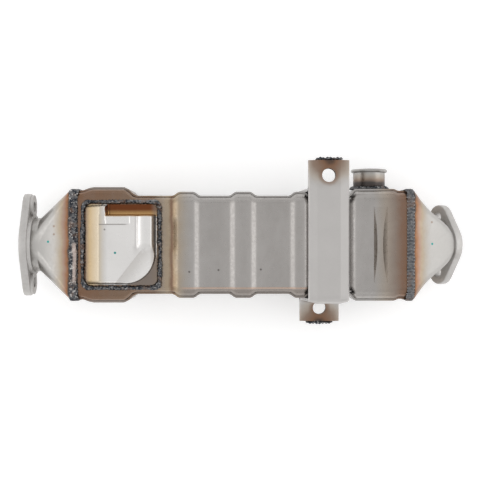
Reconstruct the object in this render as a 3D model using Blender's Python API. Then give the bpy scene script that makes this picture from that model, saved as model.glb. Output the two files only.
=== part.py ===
# Exhaust gas cooler: a welded stainless jacket round a bundle of flat gas tubes, with a flanged
# cone at each end, a pressed coolant hood, a coolant pipe stub and a two-strap bracket.
# Metres. X runs from the gas inlet to the gas outlet, Y across the body, Z up.
# The body's centre line is Y = 0, Z = 0 while it is modelled. The finished cooler hangs from one
# empty that puts the middle of its underside at the world's origin.

import math

import bmesh
import bpy
from mathutils import Matrix, Vector

# Clearances and sheet thicknesses
FIT_GAP = 0.0003
SHELL_WALL = 0.0015
CONE_WALL = 0.002
HOOD_WALL = 0.0015
STRAP_WALL = 0.002
HEADER_WALL = 0.003

# Jacket section
CORE_WIDTH = 0.086
CORE_DEPTH = 0.062
CORNER_RADIUS = 0.0055
LAP_DROP = 0.007
LAP_LENGTH = 0.012

# Jacket along its length, from the inlet joint to the outlet joint
INLET_JOINT = -0.1447
INLET_RIM_LENGTH = 0.0045
INLET_TANK_LENGTH = 0.0547
INLET_SWELL_LENGTH = 0.0265
INLET_SIDE_SWELL = 0.0076
INLET_RIM_SWELL = 0.0043
TANK_SLOPE = 0.0115
FIRST_RIB_OFFSET = 0.0432
RIB_PITCH = 0.0495
RIB_COUNT = 3
RIB_RISE = 0.0035
RIB_CREST = 0.012
LAST_RIB_CREST = 0.0065
RIB_SLOPE = 0.0065
STRAP_FROM_LAST_RIB = 0.0247
OUTLET_TANK_FROM_STRAP = 0.0178
OUTLET_TANK_LENGTH = 0.053
OUTLET_SIDE_SWELL = 0.006
OUTLET_RIM_SWELL = 0.0043
OUTLET_RIM_LENGTH = 0.0085
OUTLET_RIM_SLOPE = 0.005

# Pressed groove in the top of the outlet tank
GROOVE_LENGTH = 0.065
GROOVE_WIDTH = 0.014
GROOVE_DEPTH = 0.0042
GROOVE_END_DEPTH = 0.0006
GROOVE_FROM_OUTLET = 0.0212
GROOVE_STEPS = 10

# Gas tubes, fins and header plates
TUBE_COUNT = 7
TUBE_GAP = 0.0019
TUBE_STACK_MARGIN = 0.0043
TUBE_STACK = CORE_DEPTH - 2 * TUBE_STACK_MARGIN
TUBE_HEIGHT = (TUBE_STACK - (TUBE_COUNT - 1) * TUBE_GAP) / TUBE_COUNT
TUBE_PITCH = TUBE_HEIGHT + TUBE_GAP
TUBE_WALL = 0.0008
TUBE_EDGE_MARGIN = 0.0036
TUBE_PROUD = 0.002
HEADER_INSET = 0.0045
FIN_WAVES = 6
FIN_WALL = 0.0005
FIN_SIDE_MARGIN = 0.0025
FIN_END_INSET = 0.004

# Gas inlet cone and flange
NECK_OUTER = 0.048
INLET_CONE_LENGTH = 0.0335
INLET_NECK_LENGTH = 0.0145
CONE_SKIRT = 0.0042
INLET_FLANGE_THICKNESS = 0.007
INLET_FLANGE_MIDDLE = 0.056
INLET_BOLT_SPACING = 0.0675
INLET_LUG_RADIUS = 0.012
INLET_BOLT_HOLE = 0.0095
INLET_COLLAR_RADIUS = 0.0268
INLET_COLLAR_HEIGHT = 0.003
INLET_LUG_BOSS = 0.002
FLANGE_EDGE_BEVEL = 0.0012
NECK_INSET = 0.001

# Gas outlet cone and flange, tilted down
OUTLET_TILT = math.radians(33.0)
OUTLET_FACE_REACH = 0.0386
OUTLET_FACE_DROP = 0.013
OUTLET_NECK_OUTER = 0.038
OUTLET_NECK_LENGTH = 0.0135
OUTLET_FLANGE_THICKNESS = 0.008
OUTLET_FLANGE_MIDDLE = 0.048
OUTLET_BOLT_SPACING = 0.05
OUTLET_LUG_RADIUS = 0.011
OUTLET_BOLT_HOLE = 0.0085
CONE_POINTS = 32
CONE_STEPS = 5
CONE_FLARE = 1.2
LUG_STEPS = 6

# Weld beads
CONE_WELD_WIDTH = 0.0086
OUTLET_WELD_WIDTH = 0.0075
CONE_WELD_HEIGHT = 0.0014
CAP_WIDTH = 0.0042
CAP_LENGTH = 0.039
CAP_HEIGHT = 0.0016
CAP_FROM_MIDDLE = -0.0175
CAP_OFFSET = 0.0012
CAP_STEPS = 10
HOOD_WELD_WIDTH = 0.0042
HOOD_WELD_STEP = 0.005
HOOD_WELD_HEIGHT = 0.0024
BEAD_SHOULDER = 0.75
TAB_WELD_LENGTH = 0.024
TAB_WELD_RADIUS = 0.0022
TAB_WELD_WAVE = 0.18
TAB_WELD_STEPS = 12
PIPE_WELD_WIDTH = 0.0032

# Coolant hood on the inlet tank
HOOD_LEFT = 0.0104
HOOD_LENGTH = 0.0622
HOOD_SPAN = 0.070
HOOD_RISE = 0.0115
HOOD_RAMP = 0.0130
HOOD_LEDGE = 0.0092
HOOD_LEDGE_LEFT = 0.0172
HOOD_CORNER = 0.022
HOOD_EDGE_ROLL = 0.003
HOOD_RIGHT_MARGIN = 0.0012
HOOD_FRONT_MARGIN = 0.0012
RIDGE_WIDTH = 0.015
RIDGE_RISE = 0.0022
RIDGE_END = 0.029
STRIP_WIDTH = 0.0085
STRIP_LENGTH = 0.0275
STRIP_RISE = 0.0012
FACET_SLOPE = 0.26
FACET_LEAN = 0.78
FACET_FROM_CORNER = HOOD_CORNER / 3
HOOD_OPENING_MARGIN = 0.010
HOOD_BASE_CORNER = 0.005
HOOD_COLUMNS = 12
HOOD_ROWS = 14

# Bracket straps and tabs
STRAP_WIDTH = 0.0355
STRAP_FLAT = 0.020
STRAP_SHOULDER_DROP = 0.0016
STRAP_SKIRT = 0.0045
STRAP_BEND = 0.007
TAB_BEND = 0.004
UPPER_TAB_REACH = 0.0303
LOWER_TAB_REACH = 0.0263
LOWER_TAB_TOP = -0.007
LOWER_TAB_SHIFT = -0.0049
BOLT_HOLE = 0.012
UPPER_HOLE_FROM_END = 0.013
LOWER_HOLE_FROM_END = 0.012
LOWER_CUTTER_DROP = 0.7 * CORE_DEPTH
BEND_STEPS = 4
SLOPE_STEPS = 3
CORNER_STEPS = 3

# Coolant pipe stub and outlet port
PIPE_OUTER = 0.0285
PIPE_WALL = 0.0015
PIPE_LENGTH = 0.0185
PIPE_FROM_OUTLET = 0.0317
PIPE_BEAD_RISE = 0.002
PIPE_BEAD_LENGTH = 0.0032
PIPE_INSERT = 0.0025
PIPE_BEAD_SHAPE = ((0.8, 0.8), (1.0, 0.5), (0.8, 0.15), (0.4, 0.0))
PIPE_WELD_SHOULDER = (0.75, 0.6)
PORT_OUTER = 0.026
PORT_BORE = 0.019
PORT_HEIGHT = 0.006
TURN_STEPS = 32

# Derived places along X
CORE_HALF = CORE_WIDTH / 2
TOP = CORE_DEPTH / 2
INLET_TANK_END = INLET_JOINT + INLET_TANK_LENGTH
FIRST_RIB = INLET_TANK_END + FIRST_RIB_OFFSET
RIB_CENTRES = [FIRST_RIB + index * RIB_PITCH for index in range(RIB_COUNT)]
STRAP_X = RIB_CENTRES[-1] + STRAP_FROM_LAST_RIB
OUTLET_TANK_START = STRAP_X + OUTLET_TANK_FROM_STRAP
OUTLET_JOINT = OUTLET_TANK_START + OUTLET_TANK_LENGTH


def colour_material(name, colour, roughness, metallic):
    material = bpy.data.materials.new(name)
    material.use_nodes = True
    shader = material.node_tree.nodes["Principled BSDF"]
    shader.inputs["Base Color"].default_value = (*colour, 1.0)
    shader.inputs["Roughness"].default_value = roughness
    shader.inputs["Metallic"].default_value = metallic
    return material


def add_object(name, mesh_data, material, parent):
    mesh = bpy.data.meshes.new(name)
    mesh_data.to_mesh(mesh)
    mesh_data.free()
    piece = bpy.data.objects.new(name, mesh)
    bpy.context.scene.collection.objects.link(piece)
    piece.parent = parent
    if material is not None:
        mesh.materials.append(material)
    return piece


def shade_round(piece, angle=35.0):
    piece.data.shade_smooth()
    piece.data.set_sharp_from_angle(angle=math.radians(angle))


def add_cutter(name, mesh_data, parent):
    cutter = add_object(name, mesh_data, None, parent)
    cutter.hide_render = True
    cutter.display_type = "WIRE"
    return cutter


def cut(piece, cutter, operation="DIFFERENCE"):
    boolean = piece.modifiers.new(operation.lower() + "_" + cutter.name, "BOOLEAN")
    boolean.operation = operation
    boolean.solver = "EXACT"
    boolean.object = cutter


def thicken(piece, wall, even=True):
    # The skin is the outer face, and the sheet grows inwards from it
    solidify = piece.modifiers.new("sheet_thickness", "SOLIDIFY")
    solidify.thickness = wall
    solidify.offset = -1.0
    solidify.use_even_offset = even


def skin(rows, closed=False):
    # One sheet of quads through rows of points. Row direction x point direction faces out.
    mesh_data = bmesh.new()
    made = [[mesh_data.verts.new(point) for point in row] for row in rows]
    for first, second in zip(made, made[1:]):
        count = len(first)
        for index in range(count if closed else count - 1):
            following = (index + 1) % count
            mesh_data.faces.new((first[index], second[index], second[following], first[following]))
    return mesh_data


def solid_ring(rings):
    # A hollow body: the rings go out along the outer face and come back along the inner one
    mesh_data = skin(rings + [rings[0]], closed=True)
    bmesh.ops.remove_doubles(mesh_data, verts=mesh_data.verts, dist=1e-7)
    bmesh.ops.recalc_face_normals(mesh_data, faces=mesh_data.faces)
    return mesh_data


def prism(outline, height):
    # An outline in the XY plane raised along +Z
    mesh_data = bmesh.new()
    face = mesh_data.faces.new([mesh_data.verts.new((x, y, 0.0)) for x, y in outline])
    raised = bmesh.ops.extrude_face_region(mesh_data, geom=[face])
    moved = [item for item in raised["geom"] if isinstance(item, bmesh.types.BMVert)]
    bmesh.ops.translate(mesh_data, verts=moved, vec=(0.0, 0.0, height))
    bmesh.ops.recalc_face_normals(mesh_data, faces=mesh_data.faces)
    return mesh_data


def rod(diameter, height, steps=TURN_STEPS):
    # A round bar along +Z with its foot at the origin
    mesh_data = bmesh.new()
    bmesh.ops.create_cone(
        mesh_data,
        cap_ends=True,
        segments=steps,
        radius1=diameter / 2,
        radius2=diameter / 2,
        depth=height,
        matrix=Matrix.Translation((0.0, 0.0, height / 2)),
    )
    return mesh_data


def arc(centre, radius, start, end, steps):
    # Points of an arc in a plane, angles in radians
    return [
        (
            centre[0] + radius * math.cos(start + (end - start) * step / steps),
            centre[1] + radius * math.sin(start + (end - start) * step / steps),
        )
        for step in range(steps + 1)
    ]


def rounded_outline(left, right, low, high, radius, points):
    # Rounded rectangle, counter-clockwise, with all its points on the four corners
    steps = points // 4 - 1
    corners = (
        (right - radius, high - radius, 0.0),
        (left + radius, high - radius, 0.5),
        (left + radius, low + radius, 1.0),
        (right - radius, low + radius, 1.5),
    )
    outline = []
    for across, along, turn in corners:
        start = turn * math.pi
        outline += arc((across, along), radius, start, start + math.pi / 2, steps)
    return outline


def clear_scene():
    for old in list(bpy.data.objects):
        bpy.data.objects.remove(old, do_unlink=True)


def loft_solid(rings):
    # A solid body through closed rings, with a flat cap at each end
    mesh_data = skin(rings, closed=True)
    mesh_data.verts.ensure_lookup_table()
    count = len(rings[0])
    total = len(mesh_data.verts)
    mesh_data.faces.new(list(reversed(mesh_data.verts[:count])))
    mesh_data.faces.new(mesh_data.verts[total - count:])
    bmesh.ops.recalc_face_normals(mesh_data, faces=mesh_data.faces)
    return mesh_data


def eased(share):
    # A pressed slope: level at its foot and at its crest
    held = min(max(share, 0.0), 1.0)
    return 0.5 - 0.5 * math.cos(math.pi * held)


def stretch(start, end, steps=SLOPE_STEPS):
    return [start + (end - start) * step / steps for step in range(steps + 1)]


# The jacket's pressed form along X

INLET_SWELL_START = INLET_TANK_END - TANK_SLOPE - INLET_SWELL_LENGTH
INLET_SWELL_END = INLET_TANK_END - TANK_SLOPE
OUTLET_STEP_END = OUTLET_JOINT - OUTLET_RIM_LENGTH
OUTLET_STEP_START = OUTLET_STEP_END - OUTLET_RIM_SLOPE


def crest_half(centre):
    return (LAST_RIB_CREST if centre == RIB_CENTRES[-1] else RIB_CREST) / 2


def rib_share(x):
    return max(
        eased((crest_half(centre) + RIB_SLOPE - abs(x - centre)) / RIB_SLOPE)
        for centre in RIB_CENTRES
    )


def outlet_share(x):
    return eased((x - OUTLET_TANK_START) / RIB_SLOPE)


def inlet_share(x):
    if x <= INLET_SWELL_END:
        start = INLET_JOINT + INLET_RIM_LENGTH
        return eased((x - start) / (INLET_SWELL_START - start))
    return eased((INLET_TANK_END - x) / TANK_SLOPE)


def level_rise(x):
    # How far the top stands above the core's flat
    return RIB_RISE * max(rib_share(x), outlet_share(x))


def belly(x):
    # The inlet tank hangs down as far as the lower strap, so the cooler lies level on both
    return max(level_rise(x), (rest_level() - TOP) * inlet_share(x))


def side_half(x):
    if x <= INLET_SWELL_END:
        swell = INLET_RIM_SWELL + (INLET_SIDE_SWELL - INLET_RIM_SWELL) * inlet_share(x)
    elif x < INLET_TANK_END:
        swell = INLET_SIDE_SWELL * inlet_share(x)
    elif x < OUTLET_STEP_START:
        swell = max(RIB_RISE * rib_share(x), OUTLET_SIDE_SWELL * outlet_share(x))
    else:
        fall = eased((x - OUTLET_STEP_START) / OUTLET_RIM_SLOPE)
        swell = OUTLET_SIDE_SWELL + (OUTLET_RIM_SWELL - OUTLET_SIDE_SWELL) * fall
    return CORE_HALF + swell


def inner_half(x):
    # The upper shell's side, which fits inside the lower shell's wall also where that slopes
    near = SHELL_WALL / 2
    steepness = (side_half(x + near) - side_half(x - near)) / (2 * near)
    return side_half(x) - (SHELL_WALL + FIT_GAP) * math.hypot(1.0, steepness)


def jacket_stations():
    places = [INLET_JOINT, OUTLET_JOINT]
    places += stretch(INLET_JOINT + INLET_RIM_LENGTH, INLET_SWELL_START)
    places += stretch(INLET_SWELL_END, INLET_TANK_END)
    for centre in RIB_CENTRES:
        crest = crest_half(centre)
        places += stretch(centre - crest - RIB_SLOPE, centre - crest)
        places += stretch(centre + crest, centre + crest + RIB_SLOPE)
    places += stretch(OUTLET_TANK_START, OUTLET_TANK_START + RIB_SLOPE)
    places += stretch(OUTLET_STEP_START, OUTLET_STEP_END)
    return sorted(set(round(place, 6) for place in places))


def upper_row(x):
    half = inner_half(x)
    high = TOP + level_rise(x)
    radius = CORNER_RADIUS + level_rise(x)
    foot = TOP - LAP_DROP - LAP_LENGTH
    right = arc((half - radius, high - radius), radius, 0.0, math.pi / 2, CORNER_STEPS)
    section = [(half, foot)] + right
    mirrored = [(-across, up) for across, up in section]
    return [Vector((x, across, up)) for across, up in mirrored + section[::-1]]


def lower_row(x):
    half = side_half(x)
    low = -TOP - belly(x)
    radius = CORNER_RADIUS + level_rise(x)
    quarter = arc((half - radius, low + radius), radius, 0.0, -math.pi / 2, CORNER_STEPS)
    section = [(half, TOP - LAP_DROP)] + quarter
    mirrored = [(-across, up) for across, up in section]
    return [Vector((x, across, up)) for across, up in section + mirrored[::-1]]


def groove_body(parent, name, wall, above):
    # A trough across the tank, deepest at its middle, with sides that lean in at 45 degrees
    centre = OUTLET_JOINT - GROOVE_FROM_OUTLET
    surface = TOP + RIB_RISE
    rings = []
    for y in stretch(-GROOVE_LENGTH / 2 - wall, GROOVE_LENGTH / 2 + wall, GROOVE_STEPS):
        share = max(0.0, 1.0 - (2 * y / GROOVE_LENGTH) ** 2)
        depth = GROOVE_END_DEPTH + (GROOVE_DEPTH - GROOVE_END_DEPTH) * share
        half = GROOVE_WIDTH / 2 + wall
        section = [
            (-half, above),
            (-half, -wall / 2),
            (-half + depth, -depth - wall),
            (half - depth, -depth - wall),
            (half, -wall / 2),
            (half, above),
        ]
        rings.append([Vector((centre + across, y, surface + up)) for across, up in section])
    return add_cutter(name, loft_solid(rings), parent)


def port_place():
    return (INLET_SWELL_START + INLET_SWELL_END) / 2


def pipe_place():
    return OUTLET_JOINT - PIPE_FROM_OUTLET


def build_upper_shell(parent, material, pipe):
    rows = [upper_row(x) for x in jacket_stations()]
    shell = add_object("upper_shell", skin(rows), material, parent)
    thicken(shell, SHELL_WALL)
    backing = groove_body(parent, "groove_backing", SHELL_WALL, -SHELL_WALL / 3)
    cut(shell, backing, "UNION")
    trough = groove_body(parent, "groove_trough", 0.0, SHELL_WALL)
    cut(shell, trough)
    left, right, low, high = hood_edges()
    outline = rounded_outline(
        left + HOOD_OPENING_MARGIN,
        right - HOOD_OPENING_MARGIN,
        low + HOOD_OPENING_MARGIN,
        high - HOOD_OPENING_MARGIN,
        HOOD_BASE_CORNER,
        16,
    )
    window = add_cutter("hood_window", prism(outline, CORE_DEPTH), parent)
    cut(shell, window)
    cut(shell, pipe)
    shade_round(shell)


def build_lower_shell(parent, material, pipe):
    rows = [lower_row(x) for x in jacket_stations()]
    shell = add_object("lower_shell", skin(rows), material, parent)
    thicken(shell, SHELL_WALL)
    port = add_cutter("port_hole", rod(PORT_OUTER + 2 * FIT_GAP, PORT_HEIGHT * 3), parent)
    port.location = (port_place(), 0.0, -rest_level() - PORT_HEIGHT)
    cut(shell, port)
    cut(shell, pipe)
    shade_round(shell)


def pipe_hole(parent):
    hole = add_cutter("pipe_hole", rod(PIPE_OUTER + 2 * FIT_GAP, PIPE_LENGTH), parent)
    hole.location = (pipe_place(), side_half(pipe_place()) + PIPE_LENGTH / 2, 0.0)
    hole.rotation_euler = (math.pi / 2, 0.0, 0.0)
    return hole


# The coolant hood

def hood_edges():
    left = INLET_JOINT + HOOD_LEFT
    return left, left + HOOD_LENGTH, -HOOD_SPAN / 2, HOOD_SPAN / 2


def rolled(distance):
    # The pressed edge of the hood: a quarter round from its foot to the plateau
    held = min(max(distance / HOOD_EDGE_ROLL, 0.0), 1.0)
    return math.sqrt(1.0 - (1.0 - held) ** 2)


def hood_height(x, y):
    left, right, low, high = hood_edges()
    edge_right = right - HOOD_RIGHT_MARGIN
    edge_front = low + HOOD_FRONT_MARGIN
    ledge_side = x > left + HOOD_LEDGE_LEFT
    edge_back = high - (HOOD_LEDGE if ledge_side else FIT_GAP)
    inside = min(edge_right - x, y - edge_front, edge_back - y)
    corner_x = edge_right - HOOD_CORNER
    corner_y = edge_front + HOOD_CORNER
    if x > corner_x and y < corner_y:
        inside = min(inside, HOOD_CORNER - math.hypot(x - corner_x, y - corner_y))
    ramp = min(max((x - left) / HOOD_RAMP, 0.0), 1.0)
    height = HOOD_RISE * rolled(inside) * ramp
    ridge_x = edge_right - RIDGE_WIDTH / 2
    across = (x - ridge_x) / (RIDGE_WIDTH / 2)
    if abs(across) < 1.0 and inside > 0.0:
        run = eased((y - edge_front - RIDGE_END + RIDGE_WIDTH / 2) / (RIDGE_WIDTH / 2))
        height += RIDGE_RISE * run * (1.0 - across ** 2)
    on_strip = left + HOOD_RAMP < x < left + HOOD_RAMP + STRIP_LENGTH
    if on_strip and high - HOOD_LEDGE - STRIP_WIDTH < y < high - HOOD_LEDGE:
        height += STRIP_RISE
    leaning = x - corner_x - FACET_FROM_CORNER - (y - edge_front) * FACET_LEAN
    beyond = leaning / math.hypot(1.0, FACET_LEAN)
    if beyond > 0.0:
        height = min(height, HOOD_RISE - FACET_SLOPE * beyond)
    return height


def hood_lines(low, high, count, edges):
    # Even lines, with a close pair at each sharp edge of the pressing
    spacing = (high - low) / count
    close = 2 * FIT_GAP
    special = [edge + side for edge in edges for side in (-close / 2, close / 2)]
    even = stretch(low, high, count)
    kept = [
        line for line in even
        if line in (low, high) or all(abs(line - other) > spacing / 3 for other in special)
    ]
    inner = [line for line in special if low + close < line < high - close]
    return sorted(kept + inner)


def build_hood(parent, material):
    left, right, low, high = hood_edges()
    columns = hood_lines(left, right, HOOD_COLUMNS, [
        left + HOOD_RAMP,
        left + HOOD_LEDGE_LEFT,
        left + HOOD_RAMP + STRIP_LENGTH,
        right - HOOD_RIGHT_MARGIN,
    ])
    lines = hood_lines(low, high, HOOD_ROWS, [
        low + HOOD_FRONT_MARGIN,
        high - HOOD_LEDGE - STRIP_WIDTH,
        high - HOOD_LEDGE,
    ])
    base = TOP + FIT_GAP + HOOD_WALL
    straight = HOOD_SPAN / 2 - HOOD_BASE_CORNER
    rows = []
    for x in columns:
        row = []
        for y in lines:
            past = max(0.0, abs(y) - straight)
            inset = HOOD_BASE_CORNER - math.sqrt(max(HOOD_BASE_CORNER ** 2 - past ** 2, 0.0))
            placed = left + inset + (x - left) * (HOOD_LENGTH - 2 * inset) / HOOD_LENGTH
            row.append(Vector((placed, y, base + hood_height(x, y))))
        rows.append(row)
    hood = add_object("coolant_hood", skin(rows), material, parent)
    thicken(hood, HOOD_WALL, even=False)
    shade_round(hood, 40.0)


# The gas cones, from the rectangular tank mouth to the round neck

def rim_outline(x, inset):
    half = side_half(x) - inset
    high = TOP + level_rise(x) - inset
    radius = CORNER_RADIUS + level_rise(x) - inset
    return rounded_outline(-half, half, -high, high, radius, CONE_POINTS)


def rim_ring(x, rim_x, inset):
    return [Vector((x, across, up)) for across, up in rim_outline(rim_x, inset)]


def round_ring(centre, tilt, radius, points=CONE_POINTS):
    # A circle that faces along X when tilt is 0, and looks down as tilt grows
    upward = Vector((math.sin(tilt), 0.0, math.cos(tilt)))
    ring = []
    for index in range(points):
        angle = (index + 0.5) * 2 * math.pi / points
        sideways = Vector((0.0, math.cos(angle) * radius, 0.0))
        ring.append(centre + sideways + upward * (math.sin(angle) * radius))
    return ring


def cone_rings(rim_x, away, throat, neck_end, tilt, outer, inset):
    # away is -1 for a cone that runs to -X and 1 for one that runs to +X
    mouth = rim_ring(rim_x + away * FIT_GAP, rim_x, inset)
    skirt = rim_ring(rim_x + away * CONE_SKIRT, rim_x, inset)
    neck = round_ring(throat, tilt, outer / 2 - inset)
    rings = [mouth]
    for step in range(CONE_STEPS + 1):
        share = 1.0 - (1.0 - step / CONE_STEPS) ** CONE_FLARE
        rings.append([start.lerp(end, share) for start, end in zip(skirt, neck)])
    rings.append(round_ring(neck_end, tilt, outer / 2 - inset))
    return rings


def build_cone(name, rim_x, away, throat, neck_end, tilt, outer, parent, material):
    outside = cone_rings(rim_x, away, throat, neck_end, tilt, outer, 0.0)
    inside = cone_rings(rim_x, away, throat, neck_end, tilt, outer, CONE_WALL)
    cone = add_object(name, solid_ring(outside + inside[::-1]), material, parent)
    shade_round(cone)
    return cone


def inlet_face():
    return Vector((INLET_JOINT - INLET_CONE_LENGTH - INLET_NECK_LENGTH - NECK_INSET, 0.0, 0.0))


def outlet_face():
    return Vector((OUTLET_JOINT + OUTLET_FACE_REACH, 0.0, -OUTLET_FACE_DROP))


def outlet_normal():
    return Vector((math.cos(OUTLET_TILT), 0.0, -math.sin(OUTLET_TILT)))


def build_inlet_cone(parent, material):
    throat = Vector((INLET_JOINT - INLET_CONE_LENGTH, 0.0, 0.0))
    neck_end = throat - Vector((INLET_NECK_LENGTH, 0.0, 0.0))
    build_cone(
        "inlet_cone", INLET_JOINT, -1, throat, neck_end, 0.0, NECK_OUTER, parent, material
    )


def build_outlet_cone(parent, material):
    neck_end = outlet_face() - outlet_normal() * NECK_INSET
    throat = neck_end - outlet_normal() * OUTLET_NECK_LENGTH
    build_cone(
        "outlet_cone", OUTLET_JOINT, 1, throat, neck_end, OUTLET_TILT, OUTLET_NECK_OUTER,
        parent, material,
    )


# Two-bolt flanges, modelled lying flat with the joint face at Z = 0 and looking up

def diamond_outline(middle, lug, spacing):
    # The hull of a middle circle and two lug circles on the Y axis
    turn = math.acos((middle - lug) / (spacing / 2))
    quarter = math.pi / 2
    upper = arc((0.0, spacing / 2), lug, quarter - turn, quarter + turn, LUG_STEPS)
    left = arc((0.0, 0.0), middle, quarter + turn, 3 * quarter - turn, LUG_STEPS)
    lower = arc((0.0, -spacing / 2), lug, 3 * quarter - turn, 3 * quarter + turn, LUG_STEPS)
    right = arc((0.0, 0.0), middle, 3 * quarter + turn, 5 * quarter - turn, LUG_STEPS)
    return upper + left + lower + right


def build_flange(name, thickness, middle, lug, spacing, hole, neck, extras, parent, material):
    plate = prism(diamond_outline(middle, lug, spacing), thickness)
    bmesh.ops.translate(plate, verts=plate.verts, vec=(0.0, 0.0, -thickness))
    bmesh.ops.remove_doubles(plate, verts=plate.verts, dist=1e-6)
    rims = [edge for edge in plate.edges if abs(edge.verts[0].co.z - edge.verts[1].co.z) < 1e-7]
    bmesh.ops.bevel(
        plate, geom=rims, offset=FLANGE_EDGE_BEVEL, segments=2, profile=0.5, affect="EDGES"
    )
    flange = add_object(name, plate, material, parent)
    for extra_name, radius, height, across in extras:
        raised = add_cutter(
            name + "_" + extra_name, rod(2 * radius, height + thickness / 2), flange
        )
        raised.location = (0.0, across, -thickness - height)
        cut(flange, raised, "UNION")
    bore = add_cutter(name + "_bore", rod(neck + 2 * FIT_GAP, thickness * 4), flange)
    bore.location = (0.0, 0.0, -thickness * 2)
    cut(flange, bore)
    for side in (-1, 1):
        bolt = add_cutter(name + "_bolt_hole", rod(hole, thickness * 4, 20), flange)
        bolt.location = (0.0, side * spacing / 2, -thickness * 2)
        cut(flange, bolt)
    shade_round(flange, 30.0)
    return flange


def build_inlet_flange(parent, material):
    lug = INLET_LUG_RADIUS - FLANGE_EDGE_BEVEL
    half = INLET_BOLT_SPACING / 2
    extras = (
        ("collar", INLET_COLLAR_RADIUS, INLET_COLLAR_HEIGHT, 0.0),
        ("left_boss", lug, INLET_LUG_BOSS, -half),
        ("right_boss", lug, INLET_LUG_BOSS, half),
    )
    flange = build_flange(
        "inlet_flange", INLET_FLANGE_THICKNESS, INLET_FLANGE_MIDDLE / 2, INLET_LUG_RADIUS,
        INLET_BOLT_SPACING, INLET_BOLT_HOLE, NECK_OUTER, extras, parent, material,
    )
    flange.location = inlet_face()
    flange.rotation_euler = (0.0, -math.pi / 2, 0.0)


def build_outlet_flange(parent, material):
    flange = build_flange(
        "outlet_flange", OUTLET_FLANGE_THICKNESS, OUTLET_FLANGE_MIDDLE / 2, OUTLET_LUG_RADIUS,
        OUTLET_BOLT_SPACING, OUTLET_BOLT_HOLE, OUTLET_NECK_OUTER, (), parent, material,
    )
    flange.location = outlet_face()
    flange.rotation_euler = (0.0, math.pi / 2 + OUTLET_TILT, 0.0)


# Weld beads

def bead_section(width, height):
    # A low crown from its left foot to its right foot
    return [
        (-width / 2, 0.0),
        (-width / 3, height * BEAD_SHOULDER),
        (0.0, height),
        (width / 3, height * BEAD_SHOULDER),
        (width / 2, 0.0),
    ]


def build_joint_weld(name, joint, width, parent, material):
    rings = [
        rim_ring(joint + along, joint, -FIT_GAP - raised)
        for along, raised in bead_section(width, CONE_WELD_HEIGHT)
    ]
    weld = add_object(name, solid_ring(rings), material, parent)
    shade_round(weld, 60.0)
    return weld


def build_inlet_weld(parent, material):
    weld = build_joint_weld("inlet_cone_weld", INLET_JOINT, CONE_WELD_WIDTH, parent, material)
    section = bead_section(CAP_WIDTH, CAP_HEIGHT)
    start = CAP_FROM_MIDDLE - CAP_LENGTH / 2
    rings = []
    for step in range(CAP_STEPS + 1):
        share = 2 * step / CAP_STEPS - 1
        swell = math.sqrt(max(1.0 - share ** 6, 0.12))
        rings.append([
            Vector((
                INLET_JOINT + CAP_OFFSET + along * swell,
                start + CAP_LENGTH * step / CAP_STEPS,
                TOP + CONE_WELD_HEIGHT / 2 + raised * swell,
            ))
            for along, raised in section
        ])
    cap = add_cutter("second_weld_pass", loft_solid(rings), parent)
    cut(weld, cap, "UNION")


def lid_height(x, y):
    # The top surface of the upper shell
    half = inner_half(x)
    high = TOP + level_rise(x)
    radius = CORNER_RADIUS + level_rise(x)
    past = min(max(abs(y) - half + radius, 0.0), radius)
    return high - radius + math.sqrt(radius ** 2 - past ** 2)


def divided(outline, longest):
    # Adds points along the straight sides of an outline
    result = []
    for index, start in enumerate(outline):
        end = outline[(index + 1) % len(outline)]
        pieces = max(1, math.ceil(math.dist(start, end) / longest))
        for step in range(pieces):
            share = step / pieces
            result.append((
                start[0] + (end[0] - start[0]) * share,
                start[1] + (end[1] - start[1]) * share,
            ))
    return result


def build_hood_weld(parent, material):
    left, right, low, high = hood_edges()
    inner = divided(rounded_outline(left, right, low, high, HOOD_BASE_CORNER, 12), HOOD_WELD_STEP)
    grow_x = HOOD_LENGTH / 2
    grow_y = HOOD_SPAN / 2
    middle_x = (left + right) / 2
    third = HOOD_WELD_WIDTH / 6
    section = bead_section(HOOD_WELD_WIDTH, HOOD_WELD_HEIGHT) + [(third, 0.0), (-third, 0.0)]
    rings = []
    for along, raised in section:
        offset = FIT_GAP + HOOD_WELD_WIDTH / 2 + along
        ring = []
        for x, y in inner:
            placed_x = middle_x + (x - middle_x) * (grow_x + offset) / grow_x
            placed_y = y * (grow_y + offset) / grow_y
            up = lid_height(placed_x, placed_y) + FIT_GAP + raised
            ring.append(Vector((placed_x, placed_y, up)))
        rings.append(ring)
    weld = add_object("hood_weld", solid_ring(rings), material, parent)
    shade_round(weld, 60.0)


# The bracket: two straps of shallow channel that meet at a tab on each side

def strap_edges():
    half = STRAP_WIDTH / 2
    return STRAP_X - half + min(LOWER_TAB_SHIFT, 0.0), STRAP_X + half + max(LOWER_TAB_SHIFT, 0.0)


def strap_level(shift):
    # How far a strap's back stands from the jacket's centre: its skirts just clear the sheet
    half = STRAP_WIDTH / 2
    across = stretch(STRAP_X + shift - half, STRAP_X + shift + half, 24)
    return TOP + max(level_rise(x) for x in across) + FIT_GAP + STRAP_SKIRT


def rest_level():
    return strap_level(LOWER_TAB_SHIFT)


def leg_reach():
    left, right = strap_edges()
    return max(side_half(x) for x in stretch(left, right, 24)) + FIT_GAP + STRAP_SKIRT


def bent_path(corners, bends):
    # Points and outward normals along a bent strip in the YZ plane, its first corner at +Y
    places = [corners[0]]
    for before, corner, after, bend in zip(corners, corners[1:], corners[2:], bends):
        to_start = (before - corner).normalized()
        to_end = (after - corner).normalized()
        centre = corner + (to_start + to_end) * bend
        for step in range(BEND_STEPS + 1):
            turn = step / BEND_STEPS * math.pi / 2
            places.append(centre - to_end * bend * math.cos(turn) - to_start * bend * math.sin(turn))
    places.append(corners[-1])
    return places


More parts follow.
